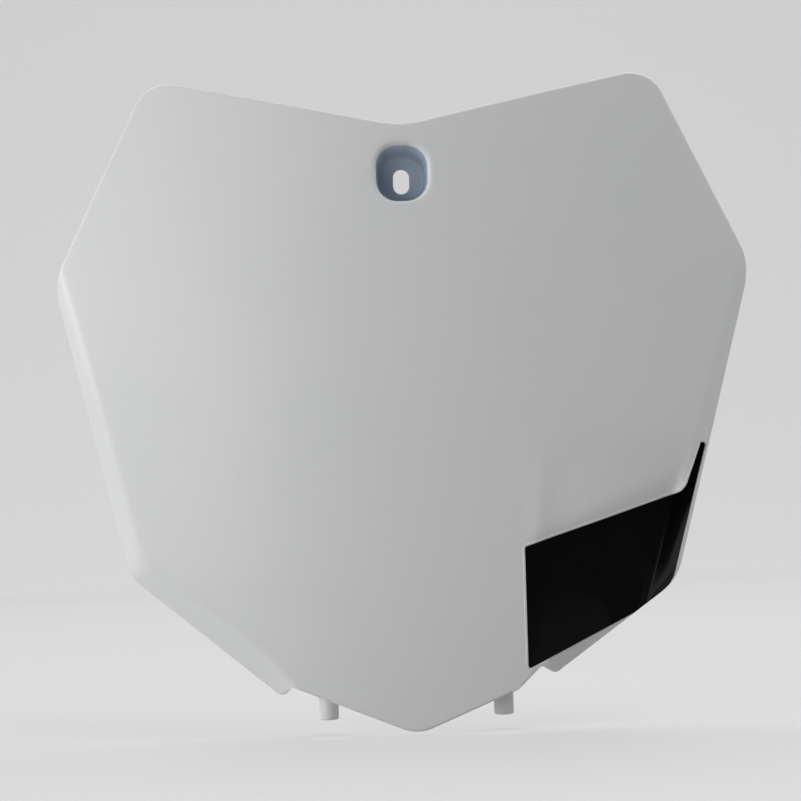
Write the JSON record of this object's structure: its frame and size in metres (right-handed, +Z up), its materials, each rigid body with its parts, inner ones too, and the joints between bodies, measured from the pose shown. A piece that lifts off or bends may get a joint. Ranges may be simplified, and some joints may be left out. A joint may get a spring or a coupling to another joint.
{
  "type": "racing number board",
  "caption": "White moulded front number board with a V top, folded lower edges, a recessed slotted screw cup, a black corner panel and pegs at its lower end.",
  "frame": {"origin": "middle of the screw slot, on the back of the cup's floor, where the plate meets its bracket", "axes": "+Z up the plate, -Y out of its face towards the front, +X to the right as seen from the front"},
  "size_m": [0.2828, 0.035, 0.2628],
  "materials": {
    "white_plastic": "smooth semi-gloss",
    "black_plastic": "gloss"
  },
  "bodies": {
    "root": {"number_plate": "white_plastic", "corner_panel": "black_plastic"}
  },
  "joints": []
}
